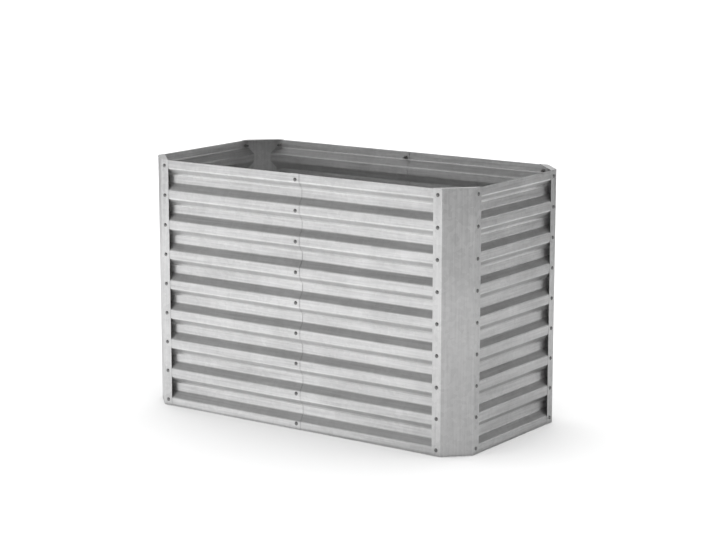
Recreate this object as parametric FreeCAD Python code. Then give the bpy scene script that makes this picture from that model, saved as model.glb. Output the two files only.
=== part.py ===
import FreeCAD, Part
import math
import os

# Raised garden bed: an eight-sided box of ribbed sheet steel, open at the top and the bottom.
# Millimetres. The origin is the middle of the footprint at ground level, +Z up, +X along the
# long walls, and the front wall is at -Y.

os.makedirs("parts", exist_ok=True)

V = FreeCAD.Vector
UP = V(0, 0, 1)
TOLERANCE = 1e-6

# Whole bed, measured over the corner sheets
LENGTH = 1220.0
WIDTH = 610.0
HEIGHT = 812.0
CHAMFER_LEG = 71.0          # how much each corner cuts off both walls

# Sheet
SHEET = 0.8                 # thickness of every panel and corner sheet
SHEET_GAP = 0.1             # air between two sheets that lie face to face
HARDWARE_GAP = 0.05         # air behind a panel, because a lapped one stands slightly askew

# Ribs of a panel: crests stand out, grooves are set back, and slopes join them
GROOVE_COUNT = 8
CREST_FLAT = 28.0           # height of a crest between the sharp corners of its outline
GROOVE_DEPTH = 15.0
SLOPE_HEIGHT = 22.0
RIB_PITCH = (HEIGHT - CREST_FLAT) / GROOVE_COUNT
RIB_BEND = 8.0              # inside radius of the rib bends

# Safety hem: the panel's top edge folded inwards and down
HEM_LEG = 12.0
HEM_BEND = 0.6

# Corner sheet
FLANGE = 31.0               # width of the flange that covers a panel's end
MITRE_GAP = 0.5             # between a panel's mitred end and the inner face of the corner sheet
CORNER_BEND = 1.6
LIP = 22.0                  # width of the lip at the top, bent inwards

# Lap of the two panels of a long wall
LAP = 15.0                  # from the seam's screws to each panel's edge
LAP_SET_BACK = 1.2          # the covered panel lies this much deeper at the seam

# Screws, washers and nuts, size M6
ROW_COUNT = 9
FIRST_ROW = 20.0            # below the rim
ROW_PITCH = 96.5
HOLE_RADIUS = 3.3
SHANK_RADIUS = 3.0
SHANK_LENGTH = 16.0
TIP_CHAMFER = 0.6
HEAD_RADIUS = 6.0
HEAD_HEIGHT = 3.4
HEAD_RIM = 0.5              # straight edge below the dome
RECESS_SPAN = 4.6           # cross recess in the head
RECESS_SLOT = 1.1
RECESS_DEPTH = 1.9
WASHER_RADIUS = 5.5
WASHER_HOLE = 3.2
WASHER_THICKNESS = 1.6
NUT_ACROSS_FLATS = 10.0
NUT_HEIGHT = 5.0
NUT_BORE = 3.05
NUT_CORNER_CUT = 0.7

# Cross braces
BRACE_ROWS = {"upper_cross_brace": 2, "lower_cross_brace": 5}
BRACE_STRIP = 16.0          # height of the strip
BRACE_THICKNESS = 2.5
BRACE_BEND = 2.0
BRACE_TAB = 9.0             # tab beyond its hole
BRACE_OFFSET = 13.0         # from the hole to the far face of the strip

ROWS = [HEIGHT - FIRST_ROW - ROW_PITCH * k for k in range(ROW_COUNT)]
PANEL_FACE = SHEET + SHEET_GAP              # depth of a crest's outer face behind the flange's
PANEL_TOP = HEIGHT - SHEET - SHEET_GAP      # the rim lies just under the corners' lips
FLANGE_BACK = PANEL_FACE + SHEET + HARDWARE_GAP
SEAM_BACK = FLANGE_BACK + LAP_SET_BACK
COLUMN_INSET = CHAMFER_LEG + FLANGE / 2     # screw rows run down the middle of the flanges

# Each wall is drawn in its own frame: x along the wall, y inwards from the outer plane, z up.
WALLS = {
    "front": {"turn": 0, "reach": WIDTH / 2, "half": LENGTH / 2},
    "right": {"turn": 90, "reach": LENGTH / 2, "half": WIDTH / 2},
    "back": {"turn": 180, "reach": WIDTH / 2, "half": LENGTH / 2},
    "left": {"turn": 270, "reach": LENGTH / 2, "half": WIDTH / 2},
}


def save(node, solids):
    """Write one node: a single solid, or a group of separate ones."""
    shape = solids[0] if len(solids) == 1 else Part.makeCompound(solids)
    if not shape.isValid():
        raise ValueError(node + " is not a valid shape")
    shape.exportStep("parts/" + node + ".step")


def on_wall(shape, wall):
    """Copy of a shape drawn in a wall's frame, moved to that wall of the bed."""
    side = WALLS[wall]
    turn = FreeCAD.Rotation(UP, side["turn"])
    moved = shape.copy()
    moved.Placement = FreeCAD.Placement(turn.multVec(V(0, -side["reach"], 0)), turn).multiply(moved.Placement)
    return moved


def flat_point(point, plane):
    """Point (a, b) of a section as a point in space: plane "xy", or "yz" for a panel's profile."""
    return V(point[0], point[1], 0) if plane == "xy" else V(0, point[0], point[1])


def shifted_path(points, distance):
    """The path moved sideways, to its left, with its corners kept sharp."""
    runs = [(b - a).normalize() for a, b in zip(points, points[1:])]
    lefts = [V(-run.y, run.x, 0) for run in runs]
    moved = [points[0] + lefts[0] * distance]
    for corner, before, after in zip(points[1:-1], lefts, lefts[1:]):
        middle = (before + after).normalize()
        moved.append(corner + middle * (distance / middle.dot(before)))
    moved.append(points[-1] + lefts[-1] * distance)
    return moved


def rounded_path(points, radii, plane):
    """Edges of a path whose inner corners are arcs of the given radii."""
    edges = []
    start = points[0]
    for before, corner, after, radius in zip(points, points[1:], points[2:], radii):
        inward = (before - corner).normalize()
        onward = (after - corner).normalize()
        half_angle = inward.getAngle(onward) / 2
        tangent = radius / math.tan(half_angle)
        bisector = (inward + onward).normalize()
        middle = corner + bisector * (radius / math.sin(half_angle) - radius)
        first, last = corner + inward * tangent, corner + onward * tangent
        if start.distanceToPoint(first) > TOLERANCE:
            edges.append(Part.makeLine(flat_point(start, plane), flat_point(first, plane)))
        edges.append(Part.Arc(flat_point(first, plane), flat_point(middle, plane),
                              flat_point(last, plane)).toShape())
        start = last
    edges.append(Part.makeLine(flat_point(start, plane), flat_point(points[-1], plane)))
    return edges


def bent_sheet(path, thickness, bends, plane):
    """Face of a bent sheet's section. The path is its right-hand face, and bends are inside radii."""
    corners = [V(a, b, 0) for a, b in path]
    other = shifted_path(corners, thickness)
    near, far = [], []
    for before, corner, after, bend in zip(corners, corners[1:], corners[2:], bends):
        turns_left = (corner - before).cross(after - corner).z > 0
        near.append(bend + thickness if turns_left else bend)
        far.append(bend if turns_left else bend + thickness)
    edges = rounded_path(corners, near, plane)
    edges.append(Part.makeLine(flat_point(corners[-1], plane), flat_point(other[-1], plane)))
    edges += rounded_path(other[::-1], far[::-1], plane)
    edges.append(Part.makeLine(flat_point(other[0], plane), flat_point(corners[0], plane)))
    return Part.Face(Part.Wire(edges))


def screw_holes(columns):
    """Cylinders that cut the screw holes of the given columns of a wall."""
    deep = 4 * SHEET
    return [Part.makeCylinder(HOLE_RADIUS, 2 * deep, V(x, -deep, z), V(0, 1, 0))
            for x in columns for z in ROWS]


def rib_profile(with_hem):
    """Outer face of a panel from the rim down, as (depth, height), and the bend at each corner."""
    crest, groove = PANEL_FACE, PANEL_FACE + GROOVE_DEPTH
    path, bends = [(crest, PANEL_TOP)], []
    if with_hem:
        inner = crest + 2 * (SHEET + HEM_BEND)
        path = [(inner, PANEL_TOP - HEM_LEG), (inner, PANEL_TOP), (crest, PANEL_TOP)]
        bends = [HEM_BEND] * 2
    for k in range(GROOVE_COUNT):
        head = HEIGHT - k * RIB_PITCH - CREST_FLAT
        foot = HEIGHT - (k + 1) * RIB_PITCH
        path += [(crest, head), (groove, head - SLOPE_HEIGHT), (groove, foot + SLOPE_HEIGHT), (crest, foot)]
        bends += [RIB_BEND] * 4
    return path + [(crest, 0.0)], bends


def ribbed_panel(start, end, hem_end, columns):
    """Panel from start to end along its wall, hemmed as far as hem_end, with its screw holes."""
    panel = None
    for x, stop, with_hem in ((start, hem_end, True), (hem_end, end, False)):
        if stop - x < SHEET:
            continue
        path, bends = rib_profile(with_hem)
        length = bent_sheet(path, SHEET, bends, "yz").extrude(V(stop - x, 0, 0))
        length.translate(V(x, 0, 0))
        panel = length if panel is None else panel.fuse(length).removeSplitter()
    return panel.cut(screw_holes(columns))


def mitred(panel, wall, side):
    """The panel with its end on that side (-1 or 1) cut to the slant of the corner sheet."""
    bend = WALLS[wall]["half"] - CHAMFER_LEG - (SHEET + MITRE_GAP) * math.sqrt(2)
    deep = 2 * GROOVE_DEPTH
    outline = [V(side * x, y, 0) for x, y in ((bend - deep, -deep), (bend + deep, deep), (bend + deep, -deep))]
    return panel.cut(Part.Face(Part.makePolygon(outline + outline[:1])).extrude(V(0, 0, HEIGHT)))


def corner_sheet():
    """Corner sheet, drawn for a corner at the origin with its walls along +X and +Y."""
    leg, end = CHAMFER_LEG, CHAMFER_LEG + FLANGE
    section = bent_sheet([(0, end), (0, leg), (leg, 0), (end, 0)], SHEET, [CORNER_BEND] * 2, "xy")
    sheet = section.extrude(V(0, 0, HEIGHT))
    # the lip widens from the chamfered face to the planes of both walls, over the panels' rims
    face = PANEL_FACE
    outer = leg - face
    inner = leg + LIP * math.sqrt(2) - face
    outline = [V(face, outer, 0), V(outer, face, 0), V(inner, face, 0), V(face, inner, 0)]
    lip = Part.Face(Part.makePolygon(outline + outline[:1])).extrude(V(0, 0, SHEET))
    lip.translate(V(0, 0, HEIGHT - SHEET))
    sheet = sheet.fuse(lip).removeSplitter()
    along_x = Part.makeCompound(screw_holes([CHAMFER_LEG + FLANGE / 2]))
    along_y = along_x.mirror(V(0, 0, 0), V(1, -1, 0))
    return sheet.cut([along_x, along_y])


def domed_screw():
    """Screw with its head's underside at y = 0 and its shank along +Y."""
    cap = HEAD_HEIGHT - HEAD_RIM
    ball = (HEAD_RADIUS ** 2 + cap ** 2) / (2 * cap)
    rim = Part.makeCylinder(HEAD_RADIUS, HEAD_HEIGHT, V(0, -HEAD_HEIGHT, 0), V(0, 1, 0))
    dome = Part.makeSphere(ball, V(0, ball - HEAD_HEIGHT, 0), V(0, 1, 0))
    head = rim.common(dome)
    shank = Part.makeCylinder(SHANK_RADIUS, SHANK_LENGTH - TIP_CHAMFER, V(0, 0, 0), V(0, 1, 0))
    tip = Part.makeCone(SHANK_RADIUS, SHANK_RADIUS - TIP_CHAMFER, TIP_CHAMFER,
                        V(0, SHANK_LENGTH - TIP_CHAMFER, 0), V(0, 1, 0))
    slots = [Part.makeBox(a, RECESS_DEPTH, b, V(-a / 2, -HEAD_HEIGHT, -b / 2))
             for a, b in ((RECESS_SPAN, RECESS_SLOT), (RECESS_SLOT, RECESS_SPAN))]
    return head.fuse([shank, tip]).removeSplitter().cut(slots)


def plain_washer():
    """Washer from y = 0 inwards."""
    disc = Part.makeCylinder(WASHER_RADIUS, WASHER_THICKNESS, V(0, 0, 0), V(0, 1, 0))
    return disc.cut(Part.makeCylinder(WASHER_HOLE, WASHER_THICKNESS, V(0, 0, 0), V(0, 1, 0)))


def hex_nut():
    """Nut from y = 0 inwards, with its corners rounded off at the free face."""
    radius = NUT_ACROSS_FLATS / math.sqrt(3)
    corners = [V(radius * math.cos(math.radians(60 * k)), 0, radius * math.sin(math.radians(60 * k)))
               for k in range(7)]
    prism = Part.Face(Part.makePolygon(corners)).extrude(V(0, NUT_HEIGHT, 0))
    wide = radius + NUT_CORNER_CUT
    cone = Part.makeCone(wide + NUT_HEIGHT, NUT_ACROSS_FLATS / 2, NUT_HEIGHT + wide - NUT_ACROSS_FLATS / 2,
                         V(0, NUT_ACROSS_FLATS / 2 - wide, 0), V(0, 1, 0))
    bore = Part.makeCylinder(NUT_BORE, NUT_HEIGHT, V(0, 0, 0), V(0, 1, 0))
    return prism.common(cone).cut(bore)


def fastener_column(wall, name, x, head_depth, back_depth, braced):
    """One upright row of screws with its washers and nuts."""
    for kind, piece, depth in (("bolts", SCREW, head_depth), ("washers", WASHER, back_depth),
                               ("nuts", NUT, back_depth + WASHER_THICKNESS)):
        group = []
        for row, z in enumerate(ROWS):
            deeper = BRACE_THICKNESS if braced and kind != "bolts" and row in BRACE_ROWS.values() else 0
            copy = piece.copy()
            copy.translate(V(x, depth + deeper, z))
            group.append(on_wall(copy, wall))
        save(name + "_" + kind, group)


def cross_brace(z):
    """Flat strip from seam to seam, with a tab at each end bent flat against the panels."""
    front = -WIDTH / 2 + SEAM_BACK
    back = -front
    path = [(-BRACE_TAB, front), (BRACE_OFFSET, front), (BRACE_OFFSET, back), (-BRACE_TAB, back)]
    strip = bent_sheet(path, BRACE_THICKNESS, [BRACE_BEND] * 2, "xy").extrude(V(0, 0, BRACE_STRIP))
    strip.translate(V(0, 0, z - BRACE_STRIP / 2))
    bore = Part.makeCylinder(HOLE_RADIUS, WIDTH, V(0, -WIDTH / 2, z), V(0, 1, 0))
    return strip.cut(bore)


def build_long_wall(wall, outer_name, inner_name):
    """Two panels lapped at mid-length. The outer one covers the edge of the inner one."""
    edge = WALLS[wall]["half"] - CHAMFER_LEG
    column = WALLS[wall]["half"] - COLUMN_INSET
    outer = ribbed_panel(-edge - GROOVE_DEPTH, LAP, -LAP - SHEET, [-column, 0])
    inner = ribbed_panel(-LAP, edge + GROOVE_DEPTH, edge + GROOVE_DEPTH, [0, column])
    # the covered panel leans back a little, so that its ribs nest behind the outer one's
    lean = math.degrees(math.atan(LAP_SET_BACK / edge))
    inner.rotate(V(edge, PANEL_FACE, 0), UP, -lean)
    save(outer_name, [on_wall(mitred(outer, wall, -1), wall)])
    save(inner_name, [on_wall(mitred(inner, wall, 1), wall)])


def build_end_wall(wall, name):
    edge = WALLS[wall]["half"] - CHAMFER_LEG + GROOVE_DEPTH
    column = WALLS[wall]["half"] - COLUMN_INSET
    panel = ribbed_panel(-edge, edge, edge, [-column, column])
    save(name, [on_wall(mitred(mitred(panel, wall, -1), wall, 1), wall)])


def build_corners():
    sheet = corner_sheet()
    places = {"front_left": (-1, -1, 0), "front_right": (1, -1, 90),
              "back_right": (1, 1, 180), "back_left": (-1, 1, 270)}
    for name, (side_x, side_y, turn) in places.items():
        corner = sheet.copy()
        corner.Placement = FreeCAD.Placement(V(side_x * LENGTH / 2, side_y * WIDTH / 2, 0),
                                             FreeCAD.Rotation(UP, turn))
        save(name + "_corner", [corner])


SCREW = domed_screw()
WASHER = plain_washer()
NUT = hex_nut()

build_long_wall("front", "front_left_panel", "front_right_panel")
build_long_wall("back", "back_right_panel", "back_left_panel")
build_end_wall("left", "left_end_panel")
build_end_wall("right", "right_end_panel")
build_corners()

# Screw rows of each wall, named as seen from the front: the seam, then the two corner flanges
for wall in ("front", "back"):
    fastener_column(wall, wall + "_seam", 0, PANEL_FACE, SEAM_BACK, True)
FLANGE_COLUMNS = {
    "front": ("front_left_corner_front", "front_right_corner_front"),
    "right": ("front_right_corner_end", "back_right_corner_end"),
    "back": ("back_right_corner_back", "back_left_corner_back"),
    "left": ("back_left_corner_end", "front_left_corner_end"),
}
for wall, (low_name, high_name) in FLANGE_COLUMNS.items():
    column = WALLS[wall]["half"] - COLUMN_INSET
    fastener_column(wall, low_name, -column, 0, FLANGE_BACK, False)
    fastener_column(wall, high_name, column, 0, FLANGE_BACK, False)

for name, row in BRACE_ROWS.items():
    save(name, [cross_brace(ROWS[row])])
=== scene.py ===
import math

import bpy
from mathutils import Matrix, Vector


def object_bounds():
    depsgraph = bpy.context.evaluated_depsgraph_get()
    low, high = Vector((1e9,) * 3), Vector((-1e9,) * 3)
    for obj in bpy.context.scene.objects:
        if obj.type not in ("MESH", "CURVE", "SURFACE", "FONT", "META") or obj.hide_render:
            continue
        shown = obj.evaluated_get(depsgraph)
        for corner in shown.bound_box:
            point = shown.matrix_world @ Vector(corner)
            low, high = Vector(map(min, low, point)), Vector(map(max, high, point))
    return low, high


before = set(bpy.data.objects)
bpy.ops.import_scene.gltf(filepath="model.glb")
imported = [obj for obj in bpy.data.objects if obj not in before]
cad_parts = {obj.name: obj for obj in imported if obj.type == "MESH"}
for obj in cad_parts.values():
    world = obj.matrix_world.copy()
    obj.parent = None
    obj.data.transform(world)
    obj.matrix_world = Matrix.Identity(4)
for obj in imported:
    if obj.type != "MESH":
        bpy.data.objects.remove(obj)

cad_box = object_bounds()

# Raised garden bed of galvanised sheet steel. Metres, in the same frame as the solids: the long
# walls run along X, the end walls along Y, and the ground is at z = 0. A smooth step is written as
# where it starts, where it ends, its value before and its value after.

# Camera: where it stands, what it aims at and how far away it is
VIEW_AZIMUTH = 35.39                 # degrees to the right of the front wall's normal
VIEW_ELEVATION = 11.06
VIEW_AIM = Vector((0.0073, 0.0196, 0.4592))
VIEW_DISTANCE = 6.696
VIEW_REACH = 200.0                   # nothing is seen beyond it
LENS = 104.72                        # in millimetres, like the sensor's width
SENSOR_WIDTH = 36.0

# Bed
HALF_LENGTH = 0.610                  # over the corner sheets
HALF_WIDTH = 0.305
CORNER_CUT = 0.071                   # what a corner's 45 degree face cuts off each of its walls
RIB_COUNT = 8
CREST_FLAT = 0.028                   # height of a crest
RIB_PITCH = (cad_box[1][2] - CREST_FLAT) / RIB_COUNT

# Galvanised sheet. A pattern's scales are along the rolling direction and across it: the higher, the
# finer. Its tone and relief are how strongly it shows in the colour and in the surface.
ZINC_DARK = (0.63, 0.63, 0.63)
ZINC_LIGHT = (0.90, 0.90, 0.90)
SHEET_METALLIC = 0.88                # the rest is the dull grey zinc oxide on it
SHEET_ROUGHNESS = 0.36
ROUGHNESS_SPREAD = 0.05              # either way, by the streaks and the crystals
STREAK_SCALES = (5.0, 150.0)
STREAK_TONE = 1.75
STREAK_RELIEF = 0.6
HAIRLINE_SCALES = (14.0, 900.0)
HAIRLINE_TONE = 0.25
HAIRLINE_RELIEF = 0.4
CLOUD_SCALE = 9.0
CLOUD_TONE = 0.8
CRYSTAL_SCALE = 85.0
CRYSTAL_TONE = 0.22
CRYSTAL_RELIEF = 0.1
CRYSTAL_ROUGHNESS = 0.35             # beside the streaks' 1

# Painted shade and painted highlights on a ribbed sheet, by the Z of its normal and by the distance
# from the middle of a band that runs along each slope that faces down
FACES_DOWN = (-0.20, -0.02, 1.0, 0.0)
PAINTED_SHADE_ABOVE = (0.04, 0.22, 1.0, 0.72)        # painted shade: tone of the slopes that face up
PAINTED_SHADE_BAND = (0.002, 0.008, -0.20, 0.0)     # painted shade: change of tone on the band
PAINTED_HIGHLIGHT_START = (0.005, 0.0095, 0.0, 0.20)   # painted highlight: change of tone on the band's edges
PAINTED_HIGHLIGHT_END = (0.0115, 0.016, 1.0, 0.0)
BAND_DROP = 0.037                           # from a crest's upper edge to the middle of the band

# Plated hardware
MOTTLE_SCALE = 420.0
MOTTLE_SPAN = (0.3, 0.7)             # the part of the mottling that goes from one tone to the other
SCRATCH_SCALES = (600.0, 600.0, 2500.0)
PLATED_ROUGHNESS = (0.25, 0.36)

# Studio
WHITE = (1.0, 1.0, 1.0, 1.0)
FLOOR_COLOUR = (0.86, 0.86, 0.86, 1.0)
FLOOR_HALF_WIDTH = 60.0
FLOOR_CARD_HEIGHT = 0.002
BACKDROP_SIDES = 48
BACKDROP_RADIUS = 50.0
BACKDROP_FOOT = -0.5
BACKDROP_TOP = 40.0
SUN_AZIMUTH = -125.0
SUN_ELEVATION = 75.0
SUN_STRENGTH = 4.7
SUN_WIDTH = 140.0                    # degrees of the sky that it fills, so its light is soft
LIT_SIDE = (-0.57, -0.82, 0.0)       # in front of the bed on its left
DIM_SIDE = (0.7071, -0.7071, 0.0)    # in front of it on its right

# What the steel mirrors above the floor, by the Z of the direction that it looks in
OVER_HORIZON = (0.18, 0.32, 0.0, 1.0)
CEILING = (0.62, 0.80, 1.0, 0.08)
DIM_CORNER = (0.45, 0.85, 1.0, 0.18)        # by how nearly that direction is the dim side's
WALLS_UNLIT = 0.06                          # over the horizon, opposite the lit side
WALLS_LIT = 0.48                            # and towards it

# The floor that the steel mirrors, by the distance from the bed
LIT_POOL = (0.6, 1.8, 0.82, 1.12)
LIT_FADE = (2.0, 7.5, 1.0, 0.28)
UNLIT_POOL = (0.1, 1.6, 0.38, 0.62)
UNLIT_FADE = (1.3, 4.8, 1.0, 0.08)
UNLIT_CONTACT = (0.05, 0.20, 0.80, 1.0)     # shade right beside the walls
INSIDE_BED_SHADE = (0.0, 0.02, 0.15, 1.0)         # painted shade on the ground between them
LIT_POWER = 1.5                             # the higher, the narrower the lit side


# ---------------------------------------------------------------------------
# Node trees
# ---------------------------------------------------------------------------

class Tree:
    """Short way to write a node tree: a call adds nodes, sets them and links their inputs."""

    def __init__(self, tree):
        self.tree = tree
        tree.nodes.clear()

    def add(self, kind, settings=None, **inputs):
        """New node. An input goes by its name with _ for a space, or by i and its number."""
        node = self.tree.nodes.new(kind)
        for name, value in (settings or {}).items():
            setattr(node, name, value)
        for name, value in inputs.items():
            numbered = name[0] == "i" and name[1:].isdigit()
            socket = node.inputs[int(name[1:]) if numbered else name.replace("_", " ")]
            if isinstance(value, bpy.types.NodeSocket):
                self.tree.links.new(value, socket)
            else:
                socket.default_value = value
        return node

    def noise(self, place, scale, detail, roughness=0.5, distortion=0.0):
        node = self.add("ShaderNodeTexNoise", Vector=place, Scale=scale, Detail=detail,
                        Roughness=roughness, Distortion=distortion)
        return node.outputs["Fac"]

    def stretched(self, place, scales):
        return self.add("ShaderNodeMapping", Vector=place, Scale=scales).outputs["Vector"]

    def remap(self, value, low, high, to_low, to_high):
        node = self.add("ShaderNodeMapRange", Value=value, From_Min=low, From_Max=high,
                        To_Min=to_low, To_Max=to_high)
        return node.outputs["Result"]

    def smooth(self, value, low, high, to_low, to_high):
        node = self.add("ShaderNodeMapRange", {"interpolation_type": "SMOOTHSTEP"}, Value=value,
                        From_Min=low, From_Max=high, To_Min=to_low, To_Max=to_high)
        return node.outputs["Result"]

    def math(self, operation, first, *others):
        """The operation on the first two values, then on its result and the third, and so on."""
        for other in others:
            node = self.add("ShaderNodeMath", {"operation": operation}, i0=first, i1=other)
            first = node.outputs["Value"]
        return first

    def centred(self, pattern, tone):
        """A pattern about zero, with its tone."""
        return self.math("MULTIPLY", self.math("SUBTRACT", pattern, 0.5), tone)

    def vector_math(self, operation, **inputs):
        return self.add("ShaderNodeVectorMath", {"operation": operation}, **inputs).outputs

    def dot(self, vector, direction):
        return self.vector_math("DOT_PRODUCT", i0=vector, i1=direction)["Value"]

    def z_of(self, vector):
        return self.add("ShaderNodeSeparateXYZ", Vector=vector).outputs["Z"]

    def blend(self, factor, dark, light):
        """Mix of two colours."""
        node = self.add("ShaderNodeMix", {"data_type": "RGBA"}, Factor=factor,
                        i6=(*dark, 1.0), i7=(*light, 1.0))
        return node.outputs[2]

    def metal(self, colour, metallic, rough, relief, strength, distance):
        """The surface itself, with its relief."""
        bump = self.add("ShaderNodeBump", Strength=strength, Distance=distance, Height=relief)
        shader = self.add("ShaderNodeBsdfPrincipled", Base_Color=colour, Metallic=metallic,
                          Roughness=rough, Normal=bump.outputs["Normal"])
        self.add("ShaderNodeOutputMaterial", Surface=shader.outputs["BSDF"])


def new_material(name):
    material = bpy.data.materials.new(name)
    material.use_nodes = True
    return material, Tree(material.node_tree)


# ---------------------------------------------------------------------------
# Steel
# ---------------------------------------------------------------------------

def rolled(t, place, direction, scales):
    """The place for a pattern that is stretched along the rolling direction, X, Y or Z."""
    along, across = scales
    return t.stretched(place, tuple(along if axis == direction else across for axis in "XYZ"))


def galvanised(name, direction, dark=ZINC_DARK, light=ZINC_LIGHT, roughness=SHEET_ROUGHNESS,
               streak=1.0, spangle=1.0, ribbed=False):
    """Hot-dip zinc on rolled sheet: streaks along the rolling direction, faint clouds and crystals."""
    material, t = new_material(name)
    place = t.add("ShaderNodeTexCoord").outputs["Object"]
    streaks = t.noise(rolled(t, place, direction, STREAK_SCALES), 1.0, detail=5.0, roughness=0.6)
    hairlines = t.noise(rolled(t, place, direction, HAIRLINE_SCALES), 1.0, detail=2.0)
    clouds = t.noise(place, CLOUD_SCALE, detail=3.0, distortion=0.4)
    crystals = t.add("ShaderNodeTexVoronoi", {"feature": "F1"}, Vector=place, Scale=CRYSTAL_SCALE)
    crystals = t.add("ShaderNodeSeparateColor", Color=crystals.outputs["Color"]).outputs["Red"]

    tone = t.math("ADD",
                  t.centred(streaks, STREAK_TONE * streak),
                  t.centred(clouds, CLOUD_TONE),
                  t.centred(crystals, CRYSTAL_TONE * spangle),
                  t.centred(hairlines, HAIRLINE_TONE * streak))
    colour = t.blend(t.remap(tone, -0.5, 0.5, 0.0, 1.0), dark, light)
    # painted shade and painted highlights over the ribs
    if ribbed:
        colour = t.vector_math("SCALE", i0=colour, Scale=rib_painted_light(t, place))["Vector"]

    rough = t.math("ADD", streaks, t.math("MULTIPLY", crystals, CRYSTAL_ROUGHNESS * spangle))
    rough = t.remap(rough, 0.3, 1.0, roughness - ROUGHNESS_SPREAD, roughness + ROUGHNESS_SPREAD)
    relief = t.math("ADD",
                    t.math("MULTIPLY", streaks, STREAK_RELIEF * streak),
                    t.math("MULTIPLY", hairlines, HAIRLINE_RELIEF * streak),
                    t.math("MULTIPLY", crystals, CRYSTAL_RELIEF * spangle))
    t.metal(colour, SHEET_METALLIC, rough, relief, strength=0.12, distance=0.0004)
    return material


def rib_painted_light(t, place):
    """Tone over a ribbed sheet: painted shade on its slopes, and painted highlights along those that face
    down.
    """
    below_band = t.math("SUBTRACT", cad_box[1][2] - BAND_DROP, t.z_of(place))
    off_band = t.math("PINGPONG", below_band, RIB_PITCH / 2)
    tilt = t.z_of(t.add("ShaderNodeNewGeometry").outputs["Normal"])
    # painted highlights along the band's edges, and painted shade on the band
    painted_highlight = t.math("MULTIPLY", t.smooth(off_band, *PAINTED_HIGHLIGHT_START), t.smooth(off_band, *PAINTED_HIGHLIGHT_END))
    change = t.math("ADD", t.smooth(off_band, *PAINTED_SHADE_BAND), painted_highlight)
    below = t.math("MULTIPLY", t.smooth(tilt, *FACES_DOWN), change)
    # painted shade on the slopes that face up
    return t.math("MULTIPLY", t.smooth(tilt, *PAINTED_SHADE_ABOVE), t.math("ADD", 1.0, below))


def plated(name, dark, light):
    """Electroplated zinc of the small hardware: smooth, with faint mottling."""
    material, t = new_material(name)
    place = t.add("ShaderNodeTexCoord").outputs["Object"]
    mottle = t.noise(place, MOTTLE_SCALE, detail=3.0, roughness=0.6)
    scratches = t.noise(t.stretched(place, SCRATCH_SCALES), 1.0, detail=2.0)
    colour = t.blend(t.remap(mottle, *MOTTLE_SPAN, 0.0, 1.0), dark, light)
    rough = t.remap(mottle, *MOTTLE_SPAN, *PLATED_ROUGHNESS)
    t.metal(colour, 1.0, rough, scratches, strength=0.08, distance=0.0001)
    return material


long_wall = galvanised("zinc_sheet_long_wall", "X", ribbed=True)
end_wall = galvanised("zinc_sheet_end_wall", "Y", ribbed=True)
corner = galvanised("zinc_sheet_corner", "Z", streak=0.6, spangle=1.5)
brace = galvanised("zinc_brace", "Y", dark=(0.5, 0.5, 0.505), light=(0.62, 0.62, 0.625), roughness=0.42)
screw = plated("zinc_screw", dark=(0.31, 0.31, 0.31), light=(0.41, 0.41, 0.41))
nut = plated("zinc_nut", dark=(0.50, 0.50, 0.50), light=(0.64, 0.63, 0.62))

# The finish of a node is the first of these that its name ends with
FINISHES = {"_end_panel": end_wall, "_panel": long_wall, "_corner": corner, "_brace": brace,
            "_bolts": screw, "_washers": nut, "_nuts": nut}

for node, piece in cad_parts.items():
    finish = next(steel for ending, steel in FINISHES.items() if node.endswith(ending))
    for material_slot in piece.material_slots:
        material_slot.material = finish


# ---------------------------------------------------------------------------
# Studio
# ---------------------------------------------------------------------------

def linked(name, data):
    """New object of the scene."""
    thing = bpy.data.objects.new(name, data)
    bpy.context.scene.collection.objects.link(thing)
    return thing


def floor_square(name, z):
    """Mesh of the whole floor at a height."""
    mesh = bpy.data.meshes.new(name)
    h = FLOOR_HALF_WIDTH
    mesh.from_pydata([(-h, -h, z), (h, -h, z), (h, h, z), (-h, h, z)], [], [(0, 1, 2, 3)])
    return mesh


def pale_floor():
    """The floor that the camera sees and the light falls on."""
    floor = linked("floor", floor_square("floor", 0.0))
    material, t = new_material("pale_floor")
    shader = t.add("ShaderNodeBsdfPrincipled", Base_Color=FLOOR_COLOUR, Roughness=0.9,
                   Specular_IOR_Level=0.0)
    t.add("ShaderNodeOutputMaterial", Surface=shader.outputs["BSDF"])
    floor.data.materials.append(material)


def towards_light(t, direction):
    """How nearly a direction is the lit side's, from 0 to 1."""
    return t.remap(t.dot(direction, LIT_SIDE), -1.0, 1.0, 0.0, 1.0)


def studio_world():
    """What the steel mirrors above the floor: a white band at the horizon, dimmer walls, a dark ceiling."""
    world = bpy.data.worlds.new("studio")
    bpy.context.scene.world = world
    world.use_nodes = True
    world.cycles_visibility.diffuse = False
    world.cycles_visibility.camera = False
    t = Tree(world.node_tree)
    direction = t.add("ShaderNodeTexCoord").outputs["Generated"]
    height = t.z_of(direction)
    walls = t.remap(towards_light(t, direction), 0.0, 1.0, WALLS_UNLIT, WALLS_LIT)
    change = t.math("MULTIPLY", t.smooth(height, *OVER_HORIZON), t.math("SUBTRACT", walls, 1.0))
    strength = t.math("MULTIPLY",
                      t.math("ADD", 1.0, change),
                      t.smooth(height, *CEILING),
                      t.smooth(t.dot(direction, DIM_SIDE), *DIM_CORNER))
    background = t.add("ShaderNodeBackground", Color=WHITE, Strength=strength)
    t.add("ShaderNodeOutputWorld", Surface=background.outputs["Background"])


def glowing(name, strength_in):
    """Material that glows as strongly as the given function says in the material's own tree."""
    material, t = new_material(name)
    shader = t.add("ShaderNodeEmission", Color=WHITE, Strength=strength_in(t))
    t.add("ShaderNodeOutputMaterial", Surface=shader.outputs["Emission"])
    return material


def even_glow(t):
    return 1.0


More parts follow.
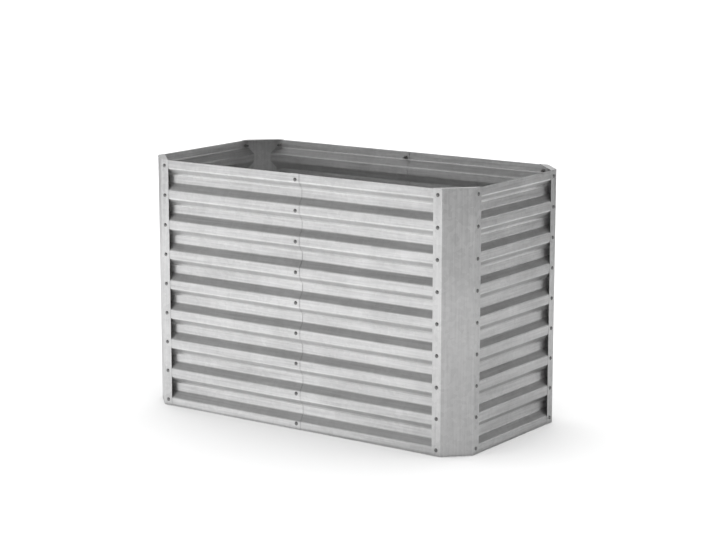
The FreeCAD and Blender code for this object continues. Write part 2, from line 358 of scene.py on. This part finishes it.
def floor_glow(t):
    """Light on the floor: a pool round the bed that fades with the distance, dimmer on the unlit side."""
    place = t.add("ShaderNodeTexCoord").outputs["Object"]
    side = t.vector_math("NORMALIZE", i0=place)["Vector"]
    near = t.math("POWER", towards_light(t, side), LIT_POWER)

    # how far away the bed's rectangle is, and how far past the 45 degree faces of its corners
    folded = t.vector_math("ABSOLUTE", i0=place)["Vector"]
    past = t.vector_math("SUBTRACT", i0=folded, i1=(HALF_LENGTH, HALF_WIDTH, 0.0))["Vector"]
    past = t.vector_math("MAXIMUM", i0=past, i1=(0.0, 0.0, 0.0))["Vector"]
    away = t.vector_math("LENGTH", i0=past)["Value"]
    past_corner = t.math("SUBTRACT", t.dot(folded, (1.0, 1.0, 0.0)),
                         HALF_LENGTH + HALF_WIDTH - CORNER_CUT)
    outside = t.math("MAXIMUM", past_corner, away)

    lit = t.math("MULTIPLY", t.smooth(away, *LIT_POOL), t.smooth(away, *LIT_FADE))
    unlit = t.math("MULTIPLY",
                   t.smooth(away, *UNLIT_POOL),
                   t.smooth(away, *UNLIT_FADE),
                   t.smooth(away, *UNLIT_CONTACT))
    glow = t.math("ADD",
                  t.math("MULTIPLY", near, lit),
                  t.math("MULTIPLY", t.math("SUBTRACT", 1.0, near), unlit))
    # painted shade on the ground inside the bed
    return t.math("MULTIPLY", glow, t.smooth(outside, *INSIDE_BED_SHADE))


def card(name, mesh, material):
    """Card of the studio, with no shadow and no light of its own on the floor."""
    mesh.materials.append(material)
    piece = linked(name, mesh)
    piece.visible_diffuse = False
    piece.visible_shadow = False
    piece.visible_transmission = False
    return piece


def floor_card():
    """The floor as the steel mirrors it. The camera sees the plain floor under it."""
    mesh = floor_square("floor_card", FLOOR_CARD_HEIGHT)
    piece = card("floor_card", mesh, glowing("floor_glow", floor_glow))
    piece.visible_camera = False


def white_backdrop():
    """Plain white wall far away from the bed, all round. The steel doesn't mirror it."""
    angles = [math.tau * k / BACKDROP_SIDES for k in range(BACKDROP_SIDES)]
    points = [(BACKDROP_RADIUS * math.cos(angle), BACKDROP_RADIUS * math.sin(angle), z)
              for z in (BACKDROP_FOOT, BACKDROP_TOP) for angle in angles]
    faces = []
    for k in range(BACKDROP_SIDES):
        following = (k + 1) % BACKDROP_SIDES
        faces.append((k, following, BACKDROP_SIDES + following, BACKDROP_SIDES + k))
    mesh = bpy.data.meshes.new("white_backdrop")
    mesh.from_pydata(points, [], faces)
    piece = card("white_backdrop", mesh, glowing("backdrop_white", even_glow))
    piece.visible_glossy = False


def toward(azimuth, elevation):
    """Unit vector to a place round the bed. Azimuth 0 is in front of it and 90 to its right."""
    a, e = math.radians(azimuth), math.radians(elevation)
    return Vector((math.sin(a) * math.cos(e), -math.cos(a) * math.cos(e), math.sin(e)))


def turn(thing, direction, axis):
    """Turns an object so that its axis points in a direction."""
    thing.rotation_mode = "QUATERNION"
    thing.rotation_quaternion = direction.to_track_quat(axis, "Y")


def overhead_light():
    """Even soft light on the floor from one side. The steel's reflections don't see it."""
    light = bpy.data.lights.new("overhead_light", "SUN")
    light.energy = SUN_STRENGTH
    light.angle = math.radians(SUN_WIDTH)
    lamp = linked("overhead_light", light)
    turn(lamp, toward(SUN_AZIMUTH, SUN_ELEVATION), "Z")
    lamp.visible_glossy = False


def photo_camera():
    data = bpy.data.cameras.new("camera")
    data.lens = LENS
    data.sensor_width = SENSOR_WIDTH
    data.clip_end = VIEW_REACH
    camera = linked("camera", data)
    back = toward(VIEW_AZIMUTH, VIEW_ELEVATION)
    camera.location = VIEW_AIM + back * VIEW_DISTANCE
    turn(camera, -back, "-Z")
    bpy.context.scene.camera = camera


pale_floor()
studio_world()
floor_card()
white_backdrop()
overhead_light()
photo_camera()
bpy.context.scene.view_settings.view_transform = "Standard"
